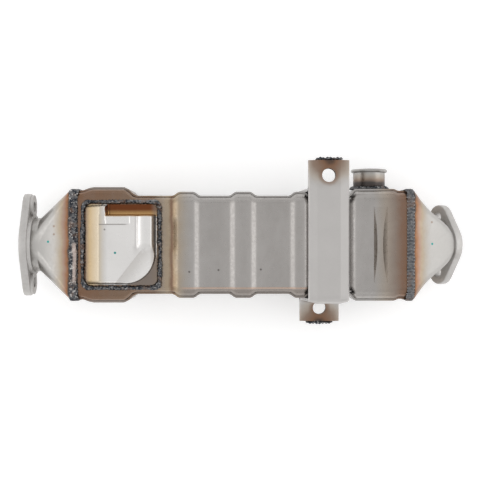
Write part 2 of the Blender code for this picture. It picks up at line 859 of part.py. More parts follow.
def strap_section():
    half = STRAP_WIDTH / 2
    edge = STRAP_WALL / 2
    return [
        (-half, STRAP_SKIRT),
        (-half, STRAP_SHOULDER_DROP + edge),
        (-half + edge, STRAP_SHOULDER_DROP),
        (-STRAP_FLAT / 2, 0.0),
        (STRAP_FLAT / 2, 0.0),
        (half - edge, STRAP_SHOULDER_DROP),
        (half, STRAP_SHOULDER_DROP + edge),
        (half, STRAP_SKIRT),
    ]


def build_strap(name, corners, bends, facing, slant_top, slant_foot, parent, material):
    # facing is 1 where the first tab looks up, and the leg at -Y slants along X. It is -1 where
    # the first tab looks down, and the leg at +Y slants.
    places = bent_path(corners, bends)
    rows = []
    for index, place in enumerate(places):
        before = places[max(index - 1, 0)]
        after = places[min(index + 1, len(places) - 1)]
        if index == 0 or index == len(places) - 1:
            along = (after - before).normalized()
        else:
            along = ((after - place).normalized() + (place - before).normalized()).normalized()
        normal = Vector((along.y, -along.x)) * facing
        share = eased((slant_top - place.y) / (slant_top - slant_foot))
        if place.x * facing > 0.0:
            share = (1 - facing) / 2
        centre = STRAP_X + LOWER_TAB_SHIFT * share
        row = []
        for across, depth in strap_section():
            spot = place - normal * depth
            row.append(Vector((centre + across * facing, spot.x, spot.y)))
        rows.append(row)
    strap = add_object(name, skin(rows), material, parent)
    thicken(strap, STRAP_WALL)
    shade_round(strap, 40.0)
    return strap


def tab_holes(parent):
    upper = add_cutter("upper_tab_hole", rod(BOLT_HOLE, CORE_DEPTH, 24), parent)
    upper.location = (STRAP_X, CORE_HALF + UPPER_TAB_REACH - UPPER_HOLE_FROM_END, 0.0)
    lower = add_cutter("lower_tab_hole", rod(BOLT_HOLE, CORE_DEPTH, 24), parent)
    lower.location = (
        STRAP_X + LOWER_TAB_SHIFT,
        -CORE_HALF - LOWER_TAB_REACH + LOWER_HOLE_FROM_END,
        -LOWER_CUTTER_DROP,
    )
    return upper, lower


def tab_box():
    # The two sheets of a tab meet skirt to skirt
    return 2 * STRAP_SKIRT + FIT_GAP


def build_bracket(parent, material):
    level = strap_level(0.0)
    low = rest_level()
    leg = leg_reach()
    upper_end = CORE_HALF + UPPER_TAB_REACH
    lower_end = -CORE_HALF - LOWER_TAB_REACH
    tab_top = Vector((lower_end, LOWER_TAB_TOP))
    upper = build_strap(
        "bracket_upper_strap",
        [Vector((upper_end, level)), Vector((-leg, level)), Vector((-leg, tab_top.y)), tab_top],
        (STRAP_BEND, TAB_BEND),
        1, level - STRAP_BEND, LOWER_TAB_TOP + TAB_BEND, parent, material,
    )
    tab_bottom = LOWER_TAB_TOP - tab_box()
    lower = build_strap(
        "bracket_lower_strap",
        [
            Vector((upper_end, level - tab_box())),
            Vector((leg, level - tab_box())),
            Vector((leg, -low)),
            Vector((-leg, -low)),
            Vector((-leg, tab_bottom)),
            Vector((lower_end, tab_bottom)),
        ],
        (TAB_BEND, STRAP_BEND, STRAP_BEND, TAB_BEND),
        -1, level - tab_box() - TAB_BEND, -low + STRAP_BEND, parent, material,
    )
    for hole in tab_holes(parent):
        cut(upper, hole)
        cut(lower, hole)


def build_tab_weld(name, centre, end, away, top, parent, material):
    # A bead that closes the tab's end, its crown waving with the welder's passes
    rings = []
    for step in range(TAB_WELD_STEPS + 1):
        share = 2 * step / TAB_WELD_STEPS - 1
        wave = 1.0 + TAB_WELD_WAVE * math.cos(3 * math.pi * share)
        size = TAB_WELD_RADIUS * wave * math.sqrt(1.0 - 0.7 * share ** 4)
        face = end + away * FIT_GAP
        low = top - tab_box() + FIT_GAP
        section = [
            (face, low),
            (face, top),
            (face + away * size * 0.6, top + size * 0.25),
            (face + away * size, top - size * 0.6),
            (face + away * size * 0.8, low),
        ]
        x = centre + TAB_WELD_LENGTH / 2 * share
        rings.append([Vector((x, across, up)) for across, up in section])
    weld = add_object(name, loft_solid(rings), material, parent)
    shade_round(weld, 60.0)


# Coolant connections

def turned(profile, base, axis_tilt, name, parent, material):
    # profile lists (radius, height) round the piece's own +Z
    rings = [
        [
            Vector((
                radius * math.cos(2 * math.pi * index / TURN_STEPS),
                radius * math.sin(2 * math.pi * index / TURN_STEPS),
                height,
            ))
            for index in range(TURN_STEPS)
        ]
        for radius, height in profile
    ]
    piece = add_object(name, solid_ring(rings), material, parent)
    piece.location = base
    piece.rotation_euler = (axis_tilt, 0.0, 0.0)
    shade_round(piece)
    return piece


def build_pipe(parent, material, weld_material):
    wall_side = side_half(pipe_place())
    outer = PIPE_OUTER / 2
    inner = outer - PIPE_WALL
    end = PIPE_LENGTH
    bead = PIPE_BEAD_LENGTH
    profile = [
        (outer, -PIPE_INSERT),
        (outer, end - bead),
        *[(outer + PIPE_BEAD_RISE * rise, end - bead * back) for rise, back in PIPE_BEAD_SHAPE],
        (inner, end),
        (inner, -PIPE_INSERT),
    ]
    base = (pipe_place(), wall_side, 0.0)
    turned(profile, base, -math.pi / 2, "coolant_inlet_pipe", parent, material)
    seat = outer + FIT_GAP
    weld = [
        (seat, FIT_GAP),
        (seat + PIPE_WELD_WIDTH, FIT_GAP),
        (seat + PIPE_WELD_WIDTH * PIPE_WELD_SHOULDER[0], FIT_GAP + PIPE_WELD_WIDTH * PIPE_WELD_SHOULDER[1]),
        (seat, FIT_GAP + PIPE_WELD_WIDTH),
    ]
    turned(weld, base, -math.pi / 2, "coolant_pipe_weld", parent, weld_material)


def build_port(parent, material):
    profile = [
        (PORT_OUTER / 2, 0.0),
        (PORT_OUTER / 2, PORT_HEIGHT),
        (PORT_BORE / 2, PORT_HEIGHT),
        (PORT_BORE / 2, 0.0),
    ]
    base = (port_place(), 0.0, -rest_level())
    turned(profile, base, 0.0, "coolant_outlet_port", parent, material)


# Header plates, tubes and fins

def header_places():
    return (
        INLET_JOINT + HEADER_INSET,
        OUTLET_JOINT - HEADER_INSET - HEADER_WALL,
    )


def tube_half():
    return CORE_HALF - 2 * SHELL_WALL - FIT_GAP - TUBE_EDGE_MARGIN


def tube_ring(x, level, inset):
    half = tube_half() - inset
    high = TUBE_HEIGHT / 2 - inset
    outline = rounded_outline(-half, half, -high, high, high * 0.95, 12)
    return [Vector((x, across, level + up)) for across, up in outline]


def tube_levels():
    first = -(TUBE_COUNT - 1) / 2
    return [(first + index) * TUBE_PITCH for index in range(TUBE_COUNT)]


def build_headers(parent, material):
    start, end = header_places()
    slots = bmesh.new()
    for level in tube_levels():
        slot = loft_solid([
            tube_ring(start - HEADER_WALL, level, -FIT_GAP),
            tube_ring(end + 2 * HEADER_WALL, level, -FIT_GAP),
        ])
        holder = bpy.data.meshes.new("slot")
        slot.to_mesh(holder)
        slot.free()
        slots.from_mesh(holder)
        bpy.data.meshes.remove(holder)
    slot_cutter = add_cutter("tube_slots", slots, parent)
    for name, x in (("inlet_header_plate", start), ("outlet_header_plate", end)):
        inset = 2 * (SHELL_WALL + FIT_GAP)
        half = side_half(x) - inset
        high = TOP + level_rise(x) - SHELL_WALL - FIT_GAP
        radius = CORNER_RADIUS + level_rise(x) - SHELL_WALL - FIT_GAP
        outline = rounded_outline(-half, half, -high, high, radius, 20)
        rings = [
            [Vector((place, across, up)) for across, up in outline]
            for place in (x, x + HEADER_WALL)
        ]
        plate = add_object(name, loft_solid(rings), material, parent)
        cut(plate, slot_cutter)


def build_tubes(parent, material, fin_material):
    start, end = header_places()
    left = start - TUBE_PROUD
    right = end + HEADER_WALL + TUBE_PROUD
    tube_mesh = solid_ring([
        tube_ring(left, 0.0, 0.0),
        tube_ring(right, 0.0, 0.0),
        tube_ring(right, 0.0, TUBE_WALL),
        tube_ring(left, 0.0, TUBE_WALL),
    ])
    fin_half = tube_half() - TUBE_WALL - FIN_SIDE_MARGIN
    fin_high = TUBE_HEIGHT / 2 - TUBE_WALL - FIT_GAP - FIN_WALL / 2
    wave = []
    for index in range(2 * FIN_WAVES):
        up = fin_high if index % 2 else -fin_high
        for edge in (index, index + 1):
            lean = FIN_WALL if edge == index else -FIN_WALL
            wave.append((-fin_half + edge * fin_half / FIN_WAVES + lean, up))
    fin_mesh = skin([
        [Vector((x, across, up)) for across, up in wave]
        for x in (left + FIN_END_INSET, right - FIN_END_INSET)
    ])
    first_tube = add_object("gas_tube_1", tube_mesh, material, parent)
    shade_round(first_tube)
    first_fin = add_object("tube_fin_1", fin_mesh, fin_material, parent)
    for index, level in enumerate(tube_levels(), start=1):
        if index == 1:
            tube, fin = first_tube, first_fin
        else:
            tube = bpy.data.objects.new("gas_tube_" + str(index), first_tube.data)
            fin = bpy.data.objects.new("tube_fin_" + str(index), first_fin.data)
            for copy in (tube, fin):
                bpy.context.scene.collection.objects.link(copy)
                copy.parent = parent
        tube.location = (0.0, 0.0, level)
        fin.location = (0.0, 0.0, level)
        thicken(fin, FIN_WALL)
        fin.modifiers[0].offset = 0.0


def seat_on_ground(frame):
    # Moves the frame so that the middle of the cooler's underside is at the origin
    bpy.context.view_layer.update()
    depsgraph = bpy.context.evaluated_depsgraph_get()
    low = Vector((math.inf, math.inf, math.inf))
    high = -low
    for piece in bpy.data.objects:
        if piece.type != "MESH" or piece.hide_render:
            continue
        evaluated = piece.evaluated_get(depsgraph)
        for vertex in evaluated.data.vertices:
            spot = evaluated.matrix_world @ vertex.co
            low = Vector(map(min, low, spot))
            high = Vector(map(max, high, spot))
    frame.location = (-(low.x + high.x) / 2, -(low.y + high.y) / 2, -low.z)
    bpy.context.view_layer.update()


def build_cooler():
    clear_scene()
    frame = bpy.data.objects.new("cooler_frame", None)
    bpy.context.scene.collection.objects.link(frame)
    sheet = colour_material("pickled_sheet", (0.33, 0.31, 0.30), 0.42, 1.0)
    tinted = colour_material("heat_tinted_sheet", (0.42, 0.33, 0.24), 0.40, 1.0)
    cast = colour_material("cast_flange", (0.50, 0.47, 0.45), 0.48, 1.0)
    bright = colour_material("bright_sheet", (0.62, 0.60, 0.58), 0.38, 1.0)
    weld = colour_material("weld_bead", (0.12, 0.12, 0.13), 0.55, 1.0)
    inner = colour_material("inner_sheet", (0.36, 0.35, 0.34), 0.45, 1.0)
    hole = pipe_hole(frame)
    build_upper_shell(frame, sheet, hole)
    build_lower_shell(frame, sheet, hole)
    build_hood(frame, bright)
    build_inlet_cone(frame, tinted)
    build_outlet_cone(frame, tinted)
    build_inlet_flange(frame, cast)
    build_outlet_flange(frame, cast)
    build_inlet_weld(frame, weld)
    build_joint_weld("outlet_cone_weld", OUTLET_JOINT, OUTLET_WELD_WIDTH, frame, weld)
    build_hood_weld(frame, weld)
    build_bracket(frame, bright)
    upper_end = CORE_HALF + UPPER_TAB_REACH
    lower_end = -CORE_HALF - LOWER_TAB_REACH
    build_tab_weld("upper_tab_weld", STRAP_X, upper_end, 1, strap_level(0.0), frame, weld)
    lower_centre = STRAP_X + LOWER_TAB_SHIFT
    build_tab_weld("lower_tab_weld", lower_centre, lower_end, -1, LOWER_TAB_TOP, frame, weld)
    build_pipe(frame, bright, weld)
    build_port(frame, cast)
    build_headers(frame, inner)
    build_tubes(frame, inner, inner)
    seat_on_ground(frame)


build_cooler()
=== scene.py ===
import bpy
import bmesh
import math
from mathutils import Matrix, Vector, noise


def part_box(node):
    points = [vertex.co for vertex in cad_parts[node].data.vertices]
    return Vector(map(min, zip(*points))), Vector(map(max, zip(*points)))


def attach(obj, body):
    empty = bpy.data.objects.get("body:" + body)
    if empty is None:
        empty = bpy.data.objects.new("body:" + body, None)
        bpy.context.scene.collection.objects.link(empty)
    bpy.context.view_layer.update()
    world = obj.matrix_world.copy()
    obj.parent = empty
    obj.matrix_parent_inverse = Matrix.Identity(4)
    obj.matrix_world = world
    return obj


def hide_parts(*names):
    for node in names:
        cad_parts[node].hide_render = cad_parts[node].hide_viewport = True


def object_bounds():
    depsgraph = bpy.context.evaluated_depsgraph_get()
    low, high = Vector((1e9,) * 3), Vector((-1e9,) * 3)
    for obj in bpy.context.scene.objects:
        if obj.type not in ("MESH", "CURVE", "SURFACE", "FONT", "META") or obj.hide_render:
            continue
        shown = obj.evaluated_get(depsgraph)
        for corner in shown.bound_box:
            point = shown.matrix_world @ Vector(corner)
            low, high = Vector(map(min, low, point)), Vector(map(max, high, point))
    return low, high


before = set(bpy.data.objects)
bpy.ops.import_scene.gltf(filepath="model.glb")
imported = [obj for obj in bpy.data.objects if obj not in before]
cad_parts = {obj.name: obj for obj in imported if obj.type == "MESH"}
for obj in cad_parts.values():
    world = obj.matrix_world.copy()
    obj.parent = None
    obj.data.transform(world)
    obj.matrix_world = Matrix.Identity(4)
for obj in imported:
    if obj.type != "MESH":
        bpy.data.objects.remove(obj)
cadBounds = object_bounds()
print("frame loaded")

view = {
    "lens": 75.0,
    "sensor": 36.0,
    "place": (-0.002592, 0.0022, 0.9393),  # straight above the cooler, metres
}

cameraData = bpy.data.cameras.new("viewCamera")
cameraData.lens = view["lens"]
cameraData.sensor_width = view["sensor"]
camera = bpy.data.objects.new("viewCamera", cameraData)
camera.location = view["place"]
bpy.context.scene.collection.objects.link(camera)
bpy.context.scene.camera = camera
bpy.context.scene.view_settings.view_transform = "Standard"
print("camera placed")

studio = {
    "zenith": 0.90,  # brightness straight overhead
    "horizon": 1.35,
    "sideSize": 1.1,
    "sidePower": 0.9,
    "keyPower": 0.5,
    "sideShade": 0.5,  # how much darker the sky is towards the long sides
    "sideHeight": 0.55,
    "sideReach": 0.95,
    "floorGlow": 0.30,  # lifts the floor to white where a camera or a mirror sees it
    "floorReach": 12.0,
    "floorDrop": 0.0005,
    "floorGrey": 0.86,
    "floorRoughness": 0.9,
    "lampWidth": 0.5,
    "skyRange": (0.35, 0.98),  # heights over which the horizon turns into the zenith
    "shadeStart": 0.25,
}


def addLight(name, place, size, power):
    data = bpy.data.lights.new(name, "AREA")
    data.shape = "RECTANGLE"
    data.size = size[0]
    data.size_y = size[1]
    data.energy = power
    lamp = bpy.data.objects.new(name, data)
    lamp.location = place
    lamp.rotation_euler = (-Vector(place)).to_track_quat("-Z", "Y").to_euler()
    bpy.context.scene.collection.objects.link(lamp)


reach = studio["sideReach"]
high = studio["sideHeight"]
lampSize = (studio["sideSize"], studio["lampWidth"])
addLight("sideLampLeft", (-reach, 0.0, high), lampSize, studio["sidePower"])
addLight("sideLampRight", (reach, 0.0, high), lampSize, studio["sidePower"])
addLight("backLamp", (0.0, reach, high), lampSize, studio["keyPower"])
addLight("frontLamp", (0.0, -reach, high), lampSize, studio["keyPower"])


def buildWorld():
    world = bpy.data.worlds.new("studioWorld")
    world.use_nodes = True
    tree = world.node_tree
    nodes, links = tree.nodes, tree.links
    nodes.clear()
    coords = nodes.new("ShaderNodeTexCoord")
    split = nodes.new("ShaderNodeSeparateXYZ")
    links.new(coords.outputs["Generated"], split.inputs[0])
    ramp = nodes.new("ShaderNodeValToRGB")
    for stop, place, level in zip(ramp.color_ramp.elements, studio["skyRange"], ("horizon", "zenith")):
        stop.position = place
        stop.color = (studio[level],) * 3 + (1.0,)
    links.new(split.outputs["Z"], ramp.inputs[0])
    across = nodes.new("ShaderNodeMath")
    across.operation = "ABSOLUTE"
    links.new(split.outputs["Y"], across.inputs[0])
    shade = nodes.new("ShaderNodeMapRange")
    shade.inputs["From Min"].default_value = studio["shadeStart"]
    shade.inputs["From Max"].default_value = 1.0
    shade.inputs["To Min"].default_value = 1.0
    shade.inputs["To Max"].default_value = studio["sideShade"]
    links.new(across.outputs[0], shade.inputs["Value"])
    sky = nodes.new("ShaderNodeBackground")
    links.new(ramp.outputs[0], sky.inputs["Color"])
    links.new(shade.outputs[0], sky.inputs["Strength"])
    output = nodes.new("ShaderNodeOutputWorld")
    links.new(sky.outputs[0], output.inputs[0])
    bpy.context.scene.world = world


buildWorld()


def buildFloor():
    mesh = bmesh.new()
    bmesh.ops.create_grid(mesh, x_segments=2, y_segments=2, size=studio["floorReach"])
    level = cadBounds[0][2] - studio["floorDrop"]
    bmesh.ops.translate(mesh, verts=mesh.verts, vec=(0.0, 0.0, level))
    data = bpy.data.meshes.new("paleFloor")
    mesh.to_mesh(data)
    mesh.free()
    floor = bpy.data.objects.new("paleFloor", data)
    bpy.context.scene.collection.objects.link(floor)
    material = bpy.data.materials.new("floorPaper")
    material.use_nodes = True
    tree = material.node_tree
    nodes, links = tree.nodes, tree.links
    shader = nodes["Principled BSDF"]
    shader.inputs["Base Color"].default_value = (studio["floorGrey"],) * 3 + (1.0,)
    shader.inputs["Roughness"].default_value = studio["floorRoughness"]
    glow = nodes.new("ShaderNodeEmission")
    glow.inputs["Color"].default_value = (1.0, 1.0, 1.0, 1.0)
    glow.inputs["Strength"].default_value = studio["floorGlow"]
    both = nodes.new("ShaderNodeAddShader")
    links.new(shader.outputs[0], both.inputs[0])
    links.new(glow.outputs[0], both.inputs[1])
    path = nodes.new("ShaderNodeLightPath")
    seen = path.outputs["Is Camera Ray"]
    for ray in ("Is Glossy Ray", "Is Transmission Ray"):
        either = nodes.new("ShaderNodeMath")
        either.operation = "MAXIMUM"
        links.new(seen, either.inputs[0])
        links.new(path.outputs[ray], either.inputs[1])
        seen = either.outputs[0]
    choice = nodes.new("ShaderNodeMixShader")
    links.new(seen, choice.inputs[0])
    links.new(shader.outputs[0], choice.inputs[1])
    links.new(both.outputs[0], choice.inputs[2])
    links.new(choice.outputs[0], nodes["Material Output"].inputs["Surface"])
    data.materials.append(material)


buildFloor()
print("studio built")


finishLook = {
    "cloud": (38.0, 4.0, 0.6),  # scale, detail and roughness of the clouds in every colour
    "grain": (420.0, 3.0, 0.6),  # the same of the grain in the roughness
    "grainRange": (0.3, 0.7),
    "grainReach": (-0.07, 0.08),  # how far the roughness strays from its level
    "sway": (3.0, 0.55),  # detail and roughness of the noise that bends a line
    "bump": (4.0, 0.6),
    "markEdge": (1.5, 0.7),  # where a mark begins and is full, in radii
    "topFade": 0.004,  # height over which the marks of the upper side fade in
    "dot": 0.0009,  # radius of a dot
}


# A finish reads Object coordinates, in metres
class Finish:
    def __init__(self, name, low, high, roughness, metallic=1.0):
        self.material = bpy.data.materials.new(name)
        self.material.use_nodes = True
        self.tree = self.material.node_tree
        self.nodes, self.links = self.tree.nodes, self.tree.links
        self.shader = self.nodes["Principled BSDF"]
        self.shader.inputs["Metallic"].default_value = metallic
        coords = self.nodes.new("ShaderNodeTexCoord")
        self.place = coords.outputs["Object"]
        split = self.nodes.new("ShaderNodeSeparateXYZ")
        self.links.new(self.place, split.inputs[0])
        self.axes = split.outputs
        cloud = self.noise(*finishLook["cloud"])
        self.colour = self.mix(cloud, low, high)
        fine = self.noise(*finishLook["grain"])
        smoother, rougher = finishLook["grainReach"]
        grain = self.span(fine, *finishLook["grainRange"], roughness + smoother, roughness + rougher)
        self.links.new(grain, self.shader.inputs["Roughness"])

    def noise(self, scale, detail, roughness, stretch=None):
        node = self.nodes.new("ShaderNodeTexNoise")
        node.inputs["Scale"].default_value = scale
        node.inputs["Detail"].default_value = detail
        node.inputs["Roughness"].default_value = roughness
        source = self.place
        if stretch:
            mapping = self.nodes.new("ShaderNodeMapping")
            mapping.inputs["Scale"].default_value = stretch
            self.links.new(self.place, mapping.inputs["Vector"])
            source = mapping.outputs[0]
        self.links.new(source, node.inputs["Vector"])
        return node.outputs["Fac"]

    def span(self, source, start, end, low=0.0, high=1.0, even=False):
        node = self.nodes.new("ShaderNodeMapRange")
        node.interpolation_type = "LINEAR" if even else "SMOOTHSTEP"
        node.inputs["From Min"].default_value = start
        node.inputs["From Max"].default_value = end
        node.inputs["To Min"].default_value = low
        node.inputs["To Max"].default_value = high
        self.links.new(source, node.inputs["Value"])
        return node.outputs["Result"]

    def math(self, operation, first, second):
        node = self.nodes.new("ShaderNodeMath")
        node.operation = operation
        for slot, value in ((0, first), (1, second)):
            if isinstance(value, (int, float)):
                node.inputs[slot].default_value = value
            else:
                self.links.new(value, node.inputs[slot])
        return node.outputs[0]

    def times(self, first, *others):
        for other in others:
            first = self.math("MULTIPLY", first, other)
        return first

    def minus(self, first, second):
        return self.math("SUBTRACT", first, second)

    def apart(self, source, place):
        # Distance from a place, on either side of it
        return self.math("ABSOLUTE", self.minus(source, place), 0.0)

    def mix(self, factor, first, second):
        node = self.nodes.new("ShaderNodeMix")
        node.data_type = "RGBA"
        if isinstance(factor, (int, float)):
            node.inputs["Factor"].default_value = factor
        else:
            self.links.new(factor, node.inputs["Factor"])
        for slot, value in ((6, first), (7, second)):
            if isinstance(value, tuple):
                node.inputs[slot].default_value = (*value, 1.0)
            else:
                self.links.new(value, node.inputs[slot])
        return node.outputs[2]

    def wobbled(self, source, amount, scale=90.0):
        ripple = self.minus(self.noise(scale, *finishLook["sway"]), 0.5)
        return self.math("ADD", source, self.times(ripple, amount))

    def tint(self, mask, colour, strength=1.0):
        if strength != 1.0:
            mask = self.times(mask, strength)
        self.colour = self.mix(mask, self.colour, colour)

    def ramp(self, source, start, end, stops):
        # A run of heat colours along one distance; the last stop fades out
        share = self.span(source, start, end, even=True)
        node = self.nodes.new("ShaderNodeValToRGB")
        first = node.color_ramp.elements
        while len(first) < len(stops):
            first.new(0.5)
        for element, (place, colour, strength) in zip(first, stops):
            element.position = place
            element.color = (*colour, strength)
        self.links.new(share, node.inputs[0])
        self.tint(node.outputs["Alpha"], node.outputs["Color"])

    def distance(self, centre, flat=False):
        # Distance to a place; a flat one is seen from above and leaves height out
        node = self.nodes.new("ShaderNodeVectorMath")
        node.operation = "DISTANCE"
        source = self.place
        if flat:
            level = self.nodes.new("ShaderNodeCombineXYZ")
            self.links.new(self.axes["X"], level.inputs[0])
            self.links.new(self.axes["Y"], level.inputs[1])
            source = level.outputs[0]
        node.inputs[1].default_value = centre
        self.links.new(source, node.inputs[0])
        return node.outputs["Value"]

    def spot(self, x, y, radius, colour, strength=1.0):
        # A small mark on the upper side only
        start, full = finishLook["markEdge"]
        mark = self.span(self.distance((x, y, 0.0), True), radius * start, radius * full)
        self.tint(self.times(mark, self.above()), colour, strength)

    def above(self):
        return self.span(self.axes["Z"], middleHeight, middleHeight + finishLook["topFade"])

    def bump(self, strength, distance, scale):
        node = self.nodes.new("ShaderNodeBump")
        node.inputs["Strength"].default_value = strength
        node.inputs["Distance"].default_value = distance
        self.links.new(self.noise(scale, *finishLook["bump"]), node.inputs["Height"])
        self.links.new(node.outputs[0], self.shader.inputs["Normal"])

    def close(self):
        self.links.new(self.colour, self.shader.inputs["Base Color"])
        return self.material


# Heat colours of stainless steel, linear
heat = {
    "silver": (0.384, 0.372, 0.36),
    "straw": (0.372, 0.31, 0.236),
    "tan": (0.347, 0.279, 0.211),
    "gold": (0.36, 0.248, 0.124),
    "orange": (0.285, 0.118, 0.043),
    "brown": (0.211, 0.136, 0.09),
    "redBrown": (0.205, 0.115, 0.071),
    "dark": (0.046, 0.037, 0.034),
    "copper": (0.533, 0.372, 0.279),
    "teal": (0.02, 0.27, 0.25),
}


def middle(name, axis):
    low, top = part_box(name)
    return (low[axis] + top[axis]) / 2


inletJoint = middle("inlet_cone_weld", 0)
outletJoint = middle("outlet_cone_weld", 0)
middleHeight = middle("inlet_cone", 2)
hoodLow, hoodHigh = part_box("coolant_hood")
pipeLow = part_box("coolant_inlet_pipe")[0]

jacketLook = {
    "low": (0.345, 0.328, 0.314),
    "high": (0.415, 0.397, 0.384),
    "roughness": 0.33,
    "worn": (0.26, 0.236, 0.217),
    "wornStrength": 0.22,
    "wornNoise": (14.0, 3.0, 0.5, (1.0, 0.35, 1.0)),
    "wornRange": (0.42, 0.72),
    "heatSway": 0.005,
    "levelSway": (0.030, 40.0),
    "outletTan": 0.032,  # reach of the tan at the outlet weld
    "inletBrown": 0.105,  # reach of the brown round the hood
    "heatHeight": (0.012, 0.062, 0.3, 1.0),  # the brown is weaker low on the sides
    "heatSide": (0.0505, 0.0465, 0.35, 1.0),  # and beyond the tank's rim
    "heatCentre": -0.002,
    "seam": -0.0396,  # the copper line beside the lap
    "seamWidth": (0.0011, 0.0004),
    "seamShade": (0.0006, 0.0016),
    "seamFades": ((-0.056, -0.05), (0.058, 0.056)),
    # the colour of a painted shadow just below the lap's edge
    "shade": (0.223, 0.186, 0.161),
    "shadeStrength": 0.65,
    "copperStrength": 0.7,
    "mottle": (0.24, 0.22, 0.205),
    "mottleStrength": 0.16,
    "mottleNoise": (170.0, 4.0, 0.65, (1.0, 0.5, 1.0)),
    "mottleRange": (0.35, 0.75),
    "scuffs": ((-0.0465, -0.0254), (-0.0213, -0.0239), (0.0155, -0.0234)),
    "scuffRadius": 0.0008,
    "scuffStrength": 0.7,
    "bump": (0.12, 0.0004, 260.0),  # strength, height and scale
}


def jacketFinish(name):
    look = jacketLook
    finish = Finish(name, look["low"], look["high"], look["roughness"])
    worn = finish.span(finish.noise(*look["wornNoise"]), *look["wornRange"])
    finish.tint(worn, look["worn"], look["wornStrength"])
    along = finish.wobbled(finish.axes["X"], look["heatSway"])
    finish.ramp(finish.minus(outletJoint, along), 0.0, look["outletTan"], [
        (0.0, heat["redBrown"], 1.0),
        (0.24, heat["redBrown"], 0.9),
        (0.42, heat["brown"], 0.65),
        (0.66, heat["tan"], 0.6),
        (1.0, heat["straw"], 0.0),
    ])
    plain = finish.colour
    finish.ramp(finish.minus(along, inletJoint), 0.0, look["inletBrown"], [
        (0.0, heat["redBrown"], 1.0),
        (0.45, heat["brown"], 0.95),
        (0.66, heat["brown"], 0.95),
        (0.745, heat["tan"], 0.9),
        (0.785, heat["gold"], 0.6),
        (0.812, heat["redBrown"], 0.95),
        (0.845, heat["gold"], 0.7),
        (0.90, heat["straw"], 0.6),
        (1.0, heat["silver"], 0.0),
    ])
    level = finish.wobbled(finish.axes["Z"], *look["levelSway"])
    rim = finish.apart(finish.axes["Y"], look["heatCentre"])
    kept = finish.times(
        finish.span(level, *look["heatHeight"]),
        finish.span(rim, *look["heatSide"]))
    finish.colour = finish.mix(kept, plain, finish.colour)
    fadeIn, fadeOut = look["seamFades"]
    beyond = finish.times(finish.span(finish.axes["X"], *fadeIn), finish.span(finish.axes["X"], *fadeOut))
    seam = look["seam"]
    near, far = look["seamShade"]
    # painted shadow: a dark band just below the lap's edge, where the seam's gap shades the sheet
    below = finish.times(finish.span(finish.axes["Y"], seam - near, seam - far), beyond)
    finish.tint(below, look["shade"], look["shadeStrength"])
    line = finish.span(finish.apart(finish.axes["Y"], seam), *look["seamWidth"])
    finish.tint(finish.times(line, beyond), heat["copper"], look["copperStrength"])
    mottle = finish.span(finish.noise(*look["mottleNoise"]), *look["mottleRange"])
    finish.tint(mottle, look["mottle"], look["mottleStrength"])
    for x, y in look["scuffs"]:
        finish.spot(x, y, look["scuffRadius"], heat["dark"], look["scuffStrength"])
    finish.bump(*look["bump"])
    return finish.close()


coneLook = {
    "low": (0.40, 0.388, 0.37),
    "high": (0.47, 0.455, 0.438),
    "roughness": 0.36,
    "heatSway": 0.006,
    "markStrength": 0.6,
    "bump": (0.1, 0.0003, 320.0),
}

inletConeLook = {
    "reach": 0.021,  # how far the heat colours run from the weld
    "dot": (-0.1703, 0.0007),
    "marks": ((-0.1650, 0.0142), (-0.1650, 0.0072)),
}

outletConeLook = {
    "reach": 0.020,
    "dot": (0.1659, -0.0012),
    "marks": ((0.1655, 0.0178),),
}


def coneFinish(name, joint, side, look):
    finish = Finish(name, coneLook["low"], coneLook["high"], coneLook["roughness"])
    away = finish.wobbled(finish.times(finish.axes["X"], side), coneLook["heatSway"])
    finish.ramp(finish.minus(away, joint * side), 0.0, look["reach"], [
        (0.0, heat["dark"], 1.0),
        (0.18, heat["dark"], 0.9),
        (0.26, heat["orange"], 0.9),
        (0.40, heat["orange"], 0.6),
        (0.54, heat["gold"], 0.6),
        (0.76, heat["straw"], 0.4),
        (1.0, heat["silver"], 0.0),
    ])
    finish.spot(*look["dot"], finishLook["dot"], heat["teal"])
    for x, y in look["marks"]:
        finish.spot(x, y, finishLook["dot"], heat["brown"], coneLook["markStrength"])
    finish.bump(*coneLook["bump"])
    return finish.close()


hoodShape = {
    "columns": 124,
    "rows": 140,
    "wall": 0.0015,
    "rise": 0.0112,
    "ramp": 0.0130,
    "margin": 0.0012,
    "corner": 0.026,  # the big round corner beside the facet
    "baseCorner": 0.005,
    "roll": 0.0032,
    "backRoll": 0.0014,
    "ledge": 0.0092,
    "ledgeStart": 0.0186,
    "ledgeBend": 0.0008,
    "ridgeWidth": 0.0154,
    "ridgeRise": 0.0021,
    "ridgeEnd": 0.0295,
    "valley": 0.0450,
    "valleyDepth": 0.0010,
    "valleyWidth": 0.0022,
    "stripEnd": 0.0400,
    "stripWidth": 0.0085,
    "stripRise": 0.0008,
    "stripBend": 0.0006,
    "facetStart": (0.0310, 0.0071),
    "facetLean": 0.908,  # angle of the facet's long edge, radians
    "facetSlope": 0.42,
    "apex": 0.0280,  # where the facet begins to close
    "apexTurn": 1.3,
}

